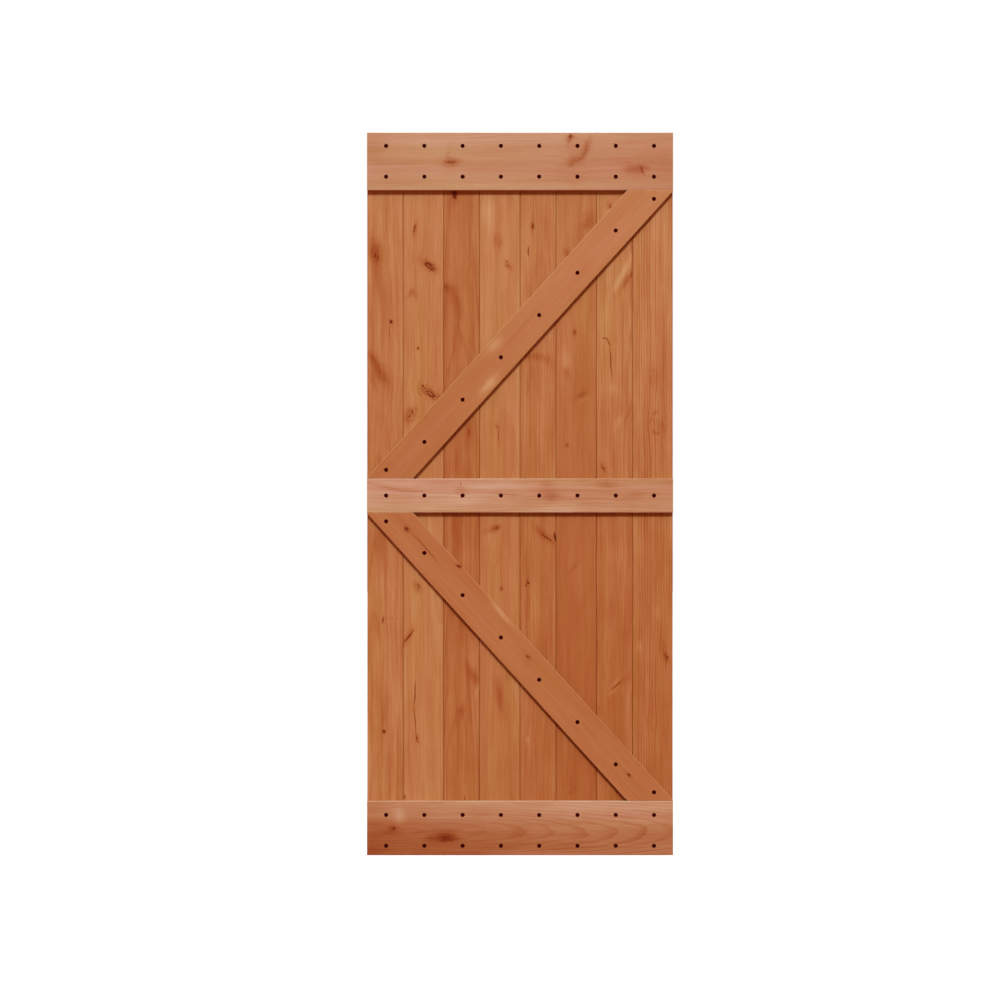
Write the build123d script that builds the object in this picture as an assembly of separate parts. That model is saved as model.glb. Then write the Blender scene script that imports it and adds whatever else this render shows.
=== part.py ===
from build123d import *
import math
import os

# Sliding barn door slab: eight upright tongue and groove planks, three rails and two braces laid
# on their front face in a K, and the countersunk screws that hold rails and braces to the planks.
# Millimetres. +Z is up, +X is to the right seen from the front, and the front faces -Y. The origin
# is the centre of the door's bottom edge, halfway through its thickness.

# Door
door_height = 2134.0
plank_pairs = 4

# Planks: one plank of each pair has a tongue on both edges, the other a groove on both edges
blank_width = 119.0
plank_thickness = 20.0
tongue_depth = 6.5
tongue_thickness = 6.0
tongue_ease = 0.8
joint_gap = 0.5
joint_bevel = 1.5
groove_clearance = 0.15

# Rails and braces
rail_thickness = 15.0
top_rail_width = 170.0
middle_rail_width = 100.0
bottom_rail_width = 160.0
brace_width = 102.0
brace_nose = 2.5
arris_radius = 1.5

# Screws
screw_head_diameter = 12.0
screw_head_angle = 90.0
screw_shank_diameter = 6.0
screw_length = 30.0
screw_point_length = 7.0
screw_sink = 0.25
screw_clearance = 0.1
screw_sides = 10

# Screw rows
screw_row_spacing = 91.0
bottom_screw_row_height = 28.0
brace_end_screw_inset = 26.0
brace_screw_drop = 5.5

# One overrun for every cut that leaves a surface
cut_overrun = 1.0

# Worked out from the sizes above
tongued_face = blank_width - 2 * tongue_depth
grooved_face = blank_width
pair_pitch = tongued_face + grooved_face + 2 * joint_gap
plank_count = 2 * plank_pairs
door_width = plank_pairs * pair_pitch
door_thickness = plank_thickness + rail_thickness
screw_pitch = door_width / plank_count

front_y = -door_thickness / 2
plank_front_y = front_y + rail_thickness
plank_middle_y = plank_front_y + plank_thickness / 2

panel_height = (door_height - top_rail_width - middle_rail_width - bottom_rail_width) / 2
lower_panel_bottom = bottom_rail_width
middle_rail_bottom = lower_panel_bottom + panel_height
upper_panel_bottom = middle_rail_bottom + middle_rail_width
top_rail_bottom = upper_panel_bottom + panel_height

# A brace lies between two rails, and each end also stops at the side of the door in a short upright
# nose. The angle is the one at which the brace's long edge meets the side just above that nose.
brace_run = door_width / 2
brace_rise = panel_height / 2 - brace_nose
brace_reach = math.hypot(brace_run, brace_rise)
brace_slope = math.atan2(brace_rise, brace_run) + math.asin(brace_width / 2 / brace_reach)


# Planks
def plank_section(left, right, tongued, joined_left, joined_right):
    """Cross-section of one plank seen from above, its edges bevelled front and back."""
    body = Pos((left + right) / 2, plank_middle_y) * Rectangle(right - left, plank_thickness)
    section = chamfer(body.vertices(), joint_bevel)
    for edge_x, outward, joined in ((left, -1, joined_left), (right, 1, joined_right)):
        if not joined:
            continue
        if tongued:
            section += joint_strip(edge_x, outward, tongue_depth, tongue_thickness, tongue_ease)
        else:
            groove_depth = tongue_depth + joint_gap
            groove_width = tongue_thickness + 2 * groove_clearance
            section -= joint_strip(edge_x, -outward, groove_depth, groove_width, tongue_ease)
    return section


def joint_strip(edge_x, direction, depth, thickness, ease):
    """Section of a tongue, or of the groove that takes it, from an edge of a plank."""
    strip = Pos(edge_x + direction * depth / 2, plank_middle_y) * Rectangle(depth, thickness)
    tip = strip.vertices().sort_by(Axis((0, 0, 0), (direction, 0, 0)))[-2:]
    return chamfer(tip, ease)


def plank(index):
    """One plank, counted from the left, at its place in the door."""
    tongued = index % 2 == 0
    joined_left = index > 0
    joined_right = index < plank_count - 1
    cell_left = index // 2 * pair_pitch - door_width / 2
    if not tongued:
        cell_left += tongued_face + joint_gap
    cell_right = cell_left + joint_gap + (tongued_face if tongued else grooved_face)
    left = cell_left + joint_gap / 2 * joined_left
    right = cell_right - joint_gap / 2 * joined_right
    return extrude(plank_section(left, right, tongued, joined_left, joined_right), door_height)


# Rails and braces
def eased_board(outline):
    """Board with the given outline, laid on the planks, the edges of its front face rounded."""
    board = extrude(Plane.XZ.offset(-plank_front_y) * outline, rail_thickness)
    front_edges = board.faces().sort_by(Axis.Y)[0].edges()
    return fillet(front_edges, arris_radius)


def rail(bottom, width):
    """Rail across the whole door, its lower edge at the given height."""
    return eased_board(Pos(0, bottom + width / 2) * Rectangle(door_width, width))


def brace(panel_bottom, rising):
    """Diagonal brace of one panel: a straight strip cut to the panel's corners."""
    panel_middle = Pos(0, panel_bottom + panel_height / 2)
    panel = panel_middle * Rectangle(door_width, panel_height)
    strip = panel_middle * Rot(0, 0, rising * math.degrees(brace_slope))
    strip = strip * Rectangle(2 * (door_width + panel_height), brace_width)
    return eased_board(panel & strip)


# Screws
def many_sided(radius):
    """Section of a screw or its hole: flat sides that touch a circle of the given radius."""
    return RegularPolygon(radius, screw_sides, major_radius=False)


def countersunk_form(clearance, rise):
    """Head, shank and point along -Z, the head's face at Z zero, grown by the clearance and
    carried up by the rise at the slope of the head. The head's cone ends inside the shank."""
    shank_radius = screw_shank_diameter / 2
    head_radius = screw_head_diameter / 2
    head_slope = math.tan(math.radians(screw_head_angle / 2))
    head_depth = (head_radius - shank_radius) / head_slope
    point_top = screw_point_length - screw_length
    mouth = many_sided(head_radius + clearance + rise * head_slope)
    core = many_sided(shank_radius + clearance)
    head_apex = -(head_radius + clearance) / head_slope
    head = loft([Pos(0, 0, rise) * mouth, Vertex(0, 0, head_apex)], ruled=True)
    shank = extrude(Pos(0, 0, point_top) * core, -head_depth / 2 - point_top)
    point = loft([Pos(0, 0, point_top) * core, Vertex(0, 0, -screw_length - clearance)], ruled=True)
    return head + shank + point


screw = countersunk_form(0, 0)
screw_hole = countersunk_form(screw_clearance, screw_sink + cut_overrun)


def at_front(place, form):
    """A screw or hole at a place (x, z) on the front, its head below the surface by the sink."""
    x, z = place
    return Plane((x, front_y + screw_sink, z), x_dir=(1, 0, 0), z_dir=(0, -1, 0)) * form


def drilled(piece, places):
    """The piece with a screw hole at each place."""
    return piece - [at_front(place, screw_hole) for place in places]


first_column = (screw_pitch - door_width) / 2
screw_columns = [first_column + index * screw_pitch for index in range(plank_count)]


def screw_rows(*heights):
    """Places of one screw in each plank at each height."""
    return [(x, z) for z in heights for x in screw_columns]


def brace_screws(panel_bottom, rising):
    """Places along a brace: on a line just below its middle, the end ones held off the rails."""
    panel_middle = panel_bottom + panel_height / 2
    lowest = panel_bottom + brace_end_screw_inset
    highest = panel_bottom + panel_height - brace_end_screw_inset
    places = []
    for x in screw_columns:
        z = panel_middle + rising * x * math.tan(brace_slope) - brace_screw_drop
        places.append((x, min(max(z, lowest), highest)))
    return places


top_rail_middle = top_rail_bottom + top_rail_width / 2
upper_screw_row_height = bottom_screw_row_height + screw_row_spacing
boards = {
    "top_rail": rail(top_rail_bottom, top_rail_width),
    "middle_rail": rail(middle_rail_bottom, middle_rail_width),
    "bottom_rail": rail(0, bottom_rail_width),
    "upper_brace": brace(upper_panel_bottom, 1),
    "lower_brace": brace(lower_panel_bottom, -1),
}
screw_places = {
    "top_rail": screw_rows(top_rail_middle - screw_row_spacing / 2, top_rail_middle + screw_row_spacing / 2),
    "middle_rail": screw_rows(middle_rail_bottom + middle_rail_width / 2),
    "bottom_rail": screw_rows(bottom_screw_row_height, upper_screw_row_height),
    "upper_brace": brace_screws(upper_panel_bottom, 1),
    "lower_brace": brace_screws(lower_panel_bottom, -1),
}

# Assembly
nodes = {}
for index, column in enumerate(screw_columns):
    own_places = [place for places in screw_places.values() for place in places if place[0] == column]
    nodes[f"plank_{index + 1}"] = drilled(plank(index), own_places)
for name, board in boards.items():
    nodes[name] = drilled(board, screw_places[name])
    nodes[f"{name}_screws"] = Compound([at_front(place, screw) for place in screw_places[name]])

os.makedirs("parts", exist_ok=True)
for name, shape in nodes.items():
    export_step(shape, f"parts/{name}.step")
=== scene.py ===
import math
from typing import NamedTuple

import bmesh
import bpy
from bpy.props import FloatProperty, FloatVectorProperty
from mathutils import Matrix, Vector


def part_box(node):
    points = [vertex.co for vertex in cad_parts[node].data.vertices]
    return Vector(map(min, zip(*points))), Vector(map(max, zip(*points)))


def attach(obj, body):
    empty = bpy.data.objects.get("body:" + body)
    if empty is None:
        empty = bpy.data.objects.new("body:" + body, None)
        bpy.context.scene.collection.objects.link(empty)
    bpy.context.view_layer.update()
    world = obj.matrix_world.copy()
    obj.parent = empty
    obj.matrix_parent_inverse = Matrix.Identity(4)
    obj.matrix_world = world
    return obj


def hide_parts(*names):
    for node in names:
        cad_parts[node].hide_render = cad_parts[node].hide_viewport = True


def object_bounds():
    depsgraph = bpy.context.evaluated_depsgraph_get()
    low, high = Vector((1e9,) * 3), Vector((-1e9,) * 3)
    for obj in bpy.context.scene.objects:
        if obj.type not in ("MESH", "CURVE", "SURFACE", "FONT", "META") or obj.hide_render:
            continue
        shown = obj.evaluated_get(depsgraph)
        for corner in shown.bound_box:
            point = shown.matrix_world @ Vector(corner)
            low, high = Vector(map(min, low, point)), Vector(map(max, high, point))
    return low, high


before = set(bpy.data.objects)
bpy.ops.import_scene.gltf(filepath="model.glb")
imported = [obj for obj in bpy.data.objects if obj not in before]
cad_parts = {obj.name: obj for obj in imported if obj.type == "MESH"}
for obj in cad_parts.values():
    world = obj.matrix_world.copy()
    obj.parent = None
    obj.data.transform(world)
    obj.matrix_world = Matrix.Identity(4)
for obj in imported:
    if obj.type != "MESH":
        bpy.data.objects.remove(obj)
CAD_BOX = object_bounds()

bl_info = {
    "name": "Barn Door Finish",
    "version": (1, 0, 0),
    "blender": (4, 5, 0),
    "location": "View3D > Sidebar > Barn Door",
    "description": "Stained knotty wood, black screws and a white studio for a plank door",
    "category": "Object",
}

# Pieces of the door
MM = 0.001
BODY = "root"
PLANKS = [f"plank_{number}" for number in range(1, 9)]
RAILS = ["top_rail", "middle_rail", "bottom_rail"]
BRACES = ["upper_brace", "lower_brace"]
SCREW_NODES = [f"{board}_screws" for board in RAILS + BRACES]

# Shares used by the makers of marks
KNOT_CORE_LEAST = 0.4
KNOT_COVER = 0.85
CRACK_SPREAD = 1.25


# Marks in the wood, and some patches of painted light and shade, placed on the door's front in millimetres
# from the middle of its bottom edge
class Mark(NamedTuple):
    """A knot, stain, shade, swirl, pale patch or crack. Its long axis leans away from the grain, its
    halo and rim darken the stain, its core is dark over the share called cover, and it pushes the grain."""
    x: float
    z: float
    half_length: float
    half_width: float
    lean: float = 0.0
    halo: float = 0.0
    rim: float = 0.0
    core: float = 0.0
    cover: float = 0.0
    push: float = 0.0


def knot(x, z, half_length, half_width, lean=0, dark=0.5, halo=0.18, rim=0.05):
    """Brown knot with a broken dark heart that the grain bends round."""
    core = KNOT_CORE_LEAST + (1 - KNOT_CORE_LEAST) * dark
    return Mark(x, z, half_length, half_width, lean, halo, rim, core, KNOT_COVER * dark, push=0.5)


def stain(x, z, half_length, half_width, lean, halo):
    """Soft darker flame with no heart."""
    return Mark(x, z, half_length, half_width, lean, halo, push=0.2)


def shade(x, z, half_length, half_width, halo):
    """Wide slow change of tone that leaves the grain as it is; lighter where halo is negative. Some are
    painted shade below the middle rail, and painted light and shade on the bottom rail.
    """
    return Mark(x, z, half_length, half_width, halo=halo)


def swirl(x, z, half_length, half_width, lean, rim, halo=0.03):
    """Broken oval line where the grain turns round a branch below the surface."""
    return Mark(x, z, half_length, half_width, lean, halo, rim, push=0.4)


def pale(x, z, half_length, half_width, lean, halo):
    """Soft lighter patch."""
    return Mark(x, z, half_length, half_width, lean, -halo, push=0.2)


def crack(x, z, half_length, lean, half_width, dark):
    """Thin dark line with a soft edge a little outside its width."""
    return Mark(x, z, half_length, CRACK_SPREAD * half_width, lean, halo=0.05, core=dark, cover=0.95)


MARKS = {
    "plank_1": [
        knot(-429, 1775, 26, 12, 8, 0.55, 0.22), stain(-428, 1797, 24, 13, 0, 0.13),
        stain(-419, 1700, 62, 10, 4, 0.14), knot(-381, 1577, 6, 5, 20, 1.0),
        crack(-386, 1540, 34, 2, 1.3, 0.4), stain(-424, 1440, 48, 17, 31, 0.22),
        stain(-433, 1468, 24, 6, 31, 0.11), stain(-412, 1418, 26, 9, 28, 0.11),
        stain(-408, 910, 40, 10, 5, 0.12), crack(-406, 692, 12, 0, 2.4, 0.7),
        stain(-384, 699, 26, 3, 90, 0.06), knot(-402, 364, 6, 5, 0, 0.9, 0.20),
        stain(-405, 414, 42, 7, 0, 0.10), shade(-365, 650, 130, 16, -0.07),
        shade(-436, 510, 80, 16, 0.06), shade(-375, 1795, 80, 24, -0.08),
        stain(-437, 1408, 30, 8, 20, 0.12),
    ],
    "plank_2": [
        stain(-311, 1850, 26, 8, -10, 0.14), crack(-313, 1852, 18, -14, 2.4, 0.6),
        knot(-269, 1742, 28, 11, 56, 0.7, 0.16, 0.10), stain(-325, 1659, 15, 5, -35, 0.15),
        stain(-313, 1659, 15, 5, 35, 0.12), knot(-301, 1498, 6, 4, 0, 0.7),
        knot(-287, 1386, 4, 3.5, 0, 1.0, 0.08), knot(-261, 1362, 32, 12, 62, 0.68, 0.11, 0.27),
        knot(-322, 1302, 23, 13, -30, 0.55, 0.18, 0.15), knot(-303, 793, 15, 9, 25, 0.5, 0.18, 0.12),
        stain(-331, 645, 28, 7, -30, 0.17), crack(-329, 645, 26, -33, 2.2, 0.75),
        crack(-312, 477, 47, -4, 1.8, 0.8), crack(-312, 399, 52, 4, 1.6, 0.7),
        knot(-305, 343, 14, 4.5, 18, 0.65, 0.12), crack(-342, 170, 9, 8, 2.2, 0.7),
        shade(-285, 1710, 80, 14, -0.055),
    ],
    "plank_3": [
        knot(-192, 1953, 17, 9, 0, 0.7), stain(-149, 1775, 60, 3, 0, 0.07),
        stain(-138, 1750, 55, 3, 1, 0.06), stain(-220, 1680, 9, 7, 0, 0.09),
        stain(-211, 1677, 18, 9, 75, 0.11), stain(-198, 1650, 44, 13, 30, 0.12),
        stain(-183, 1592, 34, 6, 0, 0.09), stain(-149, 1254, 30, 9, 0, 0.09),
        crack(-150, 1250, 13, 0, 2.0, 0.22), stain(-185, 1176, 30, 12, 0, 0.11),
        pale(-164, 875, 24, 13, 0, 0.06), swirl(-170, 647, 30, 15, 0, 0.06, 0.0),
        stain(-140, 532, 32, 10, 28, 0.20), pale(-127, 490, 24, 4, -15, 0.10),
        stain(-170, 426, 16, 7, 0, 0.12), crack(-165, 167, 7, 5, 1.8, 0.6),
        shade(-172, 1130, 28, 70, 0.08), shade(-140, 588, 40, 26, -0.07),
        # shade(-172, 965) darkens the plank just below the middle rail: painted shade
        shade(-172, 965, 55, 70, 0.06), shade(-130, 1805, 90, 14, -0.08),
    ],
    "plank_4": [
        pale(-97, 1898, 36, 14, 0, 0.12), knot(-67, 1815, 17, 11, 20, 0.40, 0.12),
        knot(-37, 1746, 17, 8, 30, 0.5, 0.13, 0.10), knot(-70, 1268, 9, 5, 15, 0.5, 0.12),
        crack(-65, 1240, 26, 1, 1.4, 0.5), stain(-86, 961, 24, 8, -70, 0.15),
        knot(-72, 967, 9, 6, -55, 0.6), pale(-92, 940, 26, 14, 0, 0.05),
        knot(-55, 787, 6, 5, 0, 0.6, 0.18), crack(-56, 836, 42, 0, 1.2, 0.3),
        stain(-61, 473, 42, 9, 10, 0.18), shade(-105, 880, 50, 16, 0.055),
    ],
    "plank_5": [
        knot(38, 1859, 8, 5, 0, 0.65, 0.18), crack(38, 1858, 46, 0, 1.3, 0.4),
        crack(25, 1785, 17, 0, 2.4, 0.8), stain(47, 1474, 38, 9, 85, 0.14),
        stain(84, 1455, 22, 9, 58, 0.08), stain(72, 944, 34, 9, 48, 0.18),
        crack(78, 938, 22, 50, 2.0, 0.6), crack(103, 940, 18, 2, 3.0, 1.0),
        crack(21, 808, 13, 0, 1.8, 0.5), knot(25, 803, 4, 3, 0, 0.9, 0.06),
        knot(17, 795, 4, 3, 0, 0.8, 0.06), stain(21, 780, 150, 4, 0, 0.12),
        # shade(18, 880) darkens the plank below the middle rail: painted shade
        pale(21, 337, 11, 5, 0, 0.16), shade(18, 880, 120, 18, 0.07), shade(28, 1420, 60, 34, 0.07),
    ],
    "plank_6": [
        stain(200, 1870, 24, 12, -30, 0.15), swirl(198, 1876, 22, 12, 20, 0.06),
        knot(139, 1780, 13, 8, 25, 0.45, 0.15), knot(162, 1545, 8, 6, 0, 0.6, 0.16),
        pale(136, 1465, 28, 12, 0, 0.11), stain(136, 1428, 16, 9, 20, 0.14),
        knot(181, 1360, 13, 6, -55, 0.3, 0.17), pale(190, 1346, 14, 5, -55, 0.08),
        knot(139, 1211, 6, 5, 0, 0.45), stain(160, 850, 22, 6, -35, 0.09),
        swirl(148, 207, 26, 14, 0, 0.07), shade(140, 188, 50, 40, -0.05),
    ],
    "plank_7": [
        knot(266, 1918, 11, 7, 30, 0.6, 0.22), pale(300, 1712, 44, 6, -28, 0.20),
        stain(316, 1700, 26, 7, -32, 0.23), crack(328, 1716, 14, -20, 1.8, 0.4),
        crack(251, 1527, 12, 78, 2.2, 0.65), crack(262, 1517, 17, 30, 2.2, 0.65),
        crack(268, 1459, 59, 3, 1.7, 0.7), pale(272, 1378, 16, 8, 0, 0.12),
        pale(292, 1280, 24, 8, -30, 0.11), stain(321, 1309, 24, 5, -20, 0.10),
        knot(246, 1146, 14, 5, 30, 0.5, 0.13), pale(279, 887, 22, 14, 0, 0.08),
        stain(312, 650, 26, 14, 0, 0.09), crack(286, 500, 24, -43, 2.0, 0.55),
        pale(280, 508, 18, 3, -43, 0.13), pale(276, 484, 14, 5, -40, 0.14),
        stain(312, 520, 20, 7, -40, 0.06), stain(233, 431, 12, 7, 0, 0.06),
        shade(320, 450, 70, 16, -0.065), shade(305, 1490, 60, 24, -0.065),
        # shade(278, 915) darkens the plank below the middle rail: painted shade
        shade(278, 915, 70, 60, 0.045),
    ],
    "plank_8": [
        swirl(395, 1412, 26, 9, 0, 0.14, 0.08), swirl(404, 1277, 32, 18, 0, 0.14, 0.05),
        stain(413, 1268, 20, 8, 10, 0.08), pale(406, 714, 24, 12, 0, 0.08),
        pale(354, 617, 18, 9, 0, 0.13), knot(433, 583, 18, 7, 25, 0.55, 0.14),
        stain(425, 616, 28, 8, 10, 0.09), swirl(393, 395, 24, 14, 0, 0.04, 0.0),
        # shade(405, 900) darkens the plank below the middle rail: painted shade
        shade(405, 900, 90, 28, 0.075),
    ],
    "top_rail": [
        stain(-440, 2095, 32, 28, 0, 0.06), shade(-60, 2050, 170, 110, -0.03),
        knot(-203, 2047, 22, 12, 0, 0.30, 0.18), crack(-203, 2047, 18, 0, 2.0, 0.35),
        stain(-213, 2066, 20, 6, 80, 0.06), swirl(168, 2087, 30, 32, 0, 0.05, 0.06),
        stain(152, 2047, 10, 6, 40, 0.09), knot(148, 2112, 10, 7, 40, 0.6, 0.24),
        stain(161, 2060, 22, 9, 17, 0.18), stain(195, 2086, 25, 8, 63, 0.18),
        knot(339, 2026, 25, 13, 0, 0.30, 0.18, 0.06), crack(361, 2021, 14, -60, 2.8, 0.35),
        stain(366, 2030, 13, 4, -8, 0.12), shade(0, 2125, 600, 28, -0.05),
        shade(240, 2112, 220, 30, -0.03), shade(-230, 2026, 270, 26, 0.045),
        shade(210, 2018, 260, 20, 0.025), shade(0, 1970, 600, 14, -0.035),
        shade(430, 2045, 45, 32, 0.06),
    ],
    "middle_rail": [
        stain(-420, 1095, 60, 5, -8, 0.08), crack(-340, 1077, 75, -3, 1.5, 0.35),
        crack(-390, 1086, 40, -5, 1.4, 0.3), stain(-175, 1076, 16, 11, 0, 0.10),
        crack(-175, 1095, 10, 90, 1.7, 0.3), crack(-50, 1066, 56, -4, 1.6, 0.22),
        shade(-100, 1055, 190, 60, -0.05), stain(75, 1096, 18, 12, 0, 0.10),
        stain(91, 1062, 26, 12, 0, 0.20), pale(118, 1026, 40, 10, 0, 0.06),
        stain(257, 1096, 22, 13, 0, 0.12), stain(345, 1065, 36, 10, 10, 0.08),
    ],
    # shade(0, -10), shade(60, 58), shade(0, 152) and shade(240, 145) make the bottom rail darker towards its
    # bottom and lighter along its top: painted shade and painted light
    "bottom_rail": [
        shade(0, -10, 700, 78, 0.19), shade(-400, 20, 130, 36, 0.06),
        knot(-219, 53, 26, 12, 0, 0.35, 0.36), stain(-221, 53, 21, 9, 0, 0.04),
        stain(-264, 51, 16, 8, 0, 0.15), knot(-376, 80, 10, 6, 10, 0.5, 0.18),
        stain(-376, 74, 24, 11, 0, 0.10), pale(-356, 118, 13, 20, 0, 0.14),
        shade(120, 60, 150, 60, -0.03), shade(0, 152, 700, 30, -0.055),
        shade(240, 145, 210, 30, -0.045), shade(60, 58, 600, 26, 0.075), shade(240, 8, 220, 22, -0.05),
        shade(-440, 80, 38, 120, 0.085), shade(410, 60, 110, 34, 0.045),
    ],
    "upper_brace": [
        pale(-74, 1507, 24, 11, 0, 0.20), pale(-91, 1389, 28, 11, 0, 0.27),
        stain(180, 1720, 60, 10, 0, 0.05),
    ],
    "lower_brace": [
        knot(-335, 963, 9, 6, 0, 0.7), crack(-280, 908, 58, 0, 1.7, 0.55),
        # pale(-55, 713) lightens a band along the brace's upper edge: painted highlight
        knot(-181, 853, 10, 5, 20, 0.75, 0.14), pale(-55, 713, 42, 6, 0, 0.21),
        knot(23, 585, 8, 4.5, 0, 0.75, 0.14), stain(214, 356, 40, 5, 0, 0.06),
        knot(321, 236, 7, 4, 10, 0.75, 0.16), stain(316, 240, 70, 3, 0, 0.05),
    ],
}


# How each board was cut from its log, and how its tone runs from one end to the other; most planks are
# darker towards the bottom
class Cut(NamedTuple):
    """Tone at the two ends of the grain, where the growth rings lie in millimetres, how strong the
    figure and the rings are and how far they wander, and the share of the rings left at the start."""
    tone_start_share: float
    tone_end_share: float
    pith_across: float
    pith_depth: float
    taper_share: float
    ring_spacing: float
    figure_share: float
    wander_share: float
    ring_share: float
    start_ring_share: float = 1.0


CUTS = {
    "plank_1": Cut(0.99, 1.03, 30, 60, 0.020, 9, 1.0, 0.7, 0.5),
    "plank_2": Cut(1.035, 1.055, -45, 45, -0.015, 8, 0.7, 0.7, 0.4),
    "plank_3": Cut(0.895, 0.95, 12, 70, 0.028, 10, 0.9, 0.6, 0.8),
    "plank_4": Cut(0.97, 1.085, -20, 90, 0.022, 9, 0.65, 0.7, 0.5),
    "plank_5": Cut(0.91, 1.045, 60, 40, -0.018, 7, 0.85, 0.4, 0.8),
    "plank_6": Cut(0.805, 1.015, -8, 80, -0.026, 11, 0.6, 0.8, 0.4),
    "plank_7": Cut(0.86, 1.09, -55, 35, 0.016, 7, 0.85, 0.4, 0.8),
    "plank_8": Cut(0.895, 1.10, 150, 12, 0.006, 8, 0.85, 0.2, 1.5),
    "top_rail": Cut(0.96, 0.905, 150, 60, 0.012, 6, 0.55, 0.4, 0.8),
    "middle_rail": Cut(1.00, 0.91, -110, 50, -0.012, 6, 0.8, 0.4, 0.8),
    "bottom_rail": Cut(0.85, 0.94, -10, 30, 0.075, 7, 0.75, 0.2, 1.35, 0.25),
    "upper_brace": Cut(0.952, 1.072, 120, 30, 0.010, 6, 0.35, 0.4, 0.8),
    "lower_brace": Cut(0.955, 0.945, -110, 40, -0.010, 6, 0.45, 0.4, 0.8),
}


# Features of the wood's figure
class Figure(NamedTuple):
    """Noise of one feature: its size in millimetres along, through and across the grain, its detail,
    roughness and distortion, and a shift that keeps it apart from the others."""
    along: float
    through: float
    across: float
    detail: float
    roughness: float = 0.5
    distortion: float = 0.0
    shift: tuple = (0.0, 0.0, 0.0)


FIGURES = {
    "ring_wander": Figure(420, 900, 900, 1.0),
    "ring_sway": Figure(520, 900, 900, 1.0, shift=(7.3, 1.9, 4.1)),
    "ring_ripple": Figure(160, 30, 30, 2.0),
    "fibre": Figure(70, 1.6, 1.6, 2.0, 0.6),
    "streak": Figure(620, 22, 22, 3.0, 0.6),
    "line": Figure(260, 5.5, 5.5, 2.0, 0.6, shift=(3.7, 8.1, 2.9)),
    "blotch": Figure(190, 55, 55, 3.0, 0.55),
    "hue": Figure(600, 45, 45, 2.0, shift=(9.1, 2.3, 6.7)),
    "pore": Figure(150, 2.6, 2.6, 2.0, 0.6, shift=(5.3, 0.7, 8.9)),
    "mark_wobble": Figure(9, 9, 5, 2.0, 0.6),
    "mark_splinter": Figure(14, 14, 4.2, 3.0, 0.6, 0.5),
    "mark_gap": Figure(26, 26, 26, 1.0),
    "mark_drift": Figure(45, 45, 45, 1.0),
    "screw_finish": Figure(0.8, 0.8, 0.8, 3.0, 0.6),
}

# Where the boards lie in the noise: millimetres from one to the next, and the first number of each kind
SEED_STEP = (911.0, 377.0, 533.0)
FIRST_SEEDS = {"planks": 1, "rails": 11, "braces": 21}

# Growth rings: how far they wander in millimetres and ripple in rings, the late wood, and the pores
RING_WANDER = 60.0
RING_SWAY = 50.0
RING_RIPPLE = 1.1
LATE_START = 0.5
LATE_FULL = 0.9
LATE_END = 0.93
YEAR_SPREAD = 0.8
YEAR_LEAST = 0.3
PORE_START = 0.08
PORE_FULL = 0.24
LATE_HEIGHT = 0.5

# Shape of a mark, in shares of its half sizes; the slant is in degrees, the drift and width in millimetres
TONE_FADE = 0.7
PUSH_FADE = 0.35
HEART_EDGE = 1.05
HEART_WHOLE = 0.5
DARK_START = 0.33
DARK_RANGE = 0.75
DARK_SOFTNESS = 0.13
RIM_WIDTH = 0.24
OUTER_RIM = 1.6
OUTER_RIM_WIDTH = 0.20
OUTER_RIM_SHARE = 0.35
RIM_BREAK = 0.08
SPECK_START = -0.12
SPECK_FULL = -0.24
SPECK_LIGHT = 0.22
SLANTED_FIBRE = 58
DRIFT = 8.0
MOST_RAGGED = 0.9
RAGGED_WIDTH = 13

# Stain: how a deeper tone and a shift to tan act on red, green and blue
STAIN_POWERS = (1.0, 2.5, 3.8)
TAN_SHIFTS = (-0.2, 0.08, -0.7)

# Change of tone in knot hearts, on rounded edges (partly rubbed stain, partly painted highlight), in the
# rims of screw holes (painted shade) and on end grain
HEART_DEPTH = 0.42
CHAR_POWER = 3.0
CHAR_SHARE = 0.75
# Paler rounded edges: partly rubbed stain, partly painted highlight
EDGE_GAIN = 4
# Darkening of the countersink walls round the screw heads: painted shade
HOLE_SHADE = 0.4
HOLE_WALL_START = 0.62
HOLE_WALL_FULL = 0.55
HOLE_RIM_END = 0.36 * MM
HOLE_RIM_FULL = 0.28 * MM
END_GRAIN_START = 0.75
END_GRAIN_FULL = 0.95
END_GRAIN_DEPTH = 0.16

# Surface of the wood
WOOD_ROUGHNESS = 0.55
LATE_WOOD_GLOSS = 0.08
HEART_ROUGHNESS = 0.3
WOOD_SPECULAR = 0.1
HEART_SINK = 2.0
WOOD_RELIEF = 0.35
WOOD_RELIEF_DEPTH = 0.25 * MM

# Screws: facets, point, thread, cross recess in shares of its width or depth, and finish
WELD_DISTANCE = 0.01 * MM
SCREW_SIDES = 24
SCREW_STEPS = 60
TIP_RADIUS = 0.15 * MM
POINT_SLOPE = 0.42
FLANK_STEEPNESS = 4.0
POINT_THREAD_SHARE = 0.5
RECESS_TOP = 0.5
RECESS_BOTTOM = 0.2
RECESS_OVERRUN = 1.2
RECESS_SLOT_SHARE = 0.34
RECESS_SLOTS = ((0.0, 1.0), (math.pi / 2, 0.94))
SPIN_SEED = 11
SMOOTH_ANGLE = math.radians(35)
FINISH_LIGHT = 1.8
FINISH_CONTRAST = 0.6
FINISH_ROUGHNESS = 0.5
FINISH_ROUGHNESS_SPREAD = 0.2
FINISH_SPECULAR = 0.01
FINISH_RELIEF = 0.2
FINISH_RELIEF_DEPTH = 0.05 * MM

# Floor and camera
FLOOR_BOUNCE = (0.33, 0.09, 0.025, 1)
FLOOR_SEEN = (0.86, 0.95, 1.0, 1)
FLOOR_LIFT = 0.06
WHITE = (1, 1, 1, 1)
CAMERA_REACH = 100


# Settings a user would change
COLOUR_FORM = {"subtype": "COLOR", "size": 3, "min": 0, "max": 1}


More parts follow.
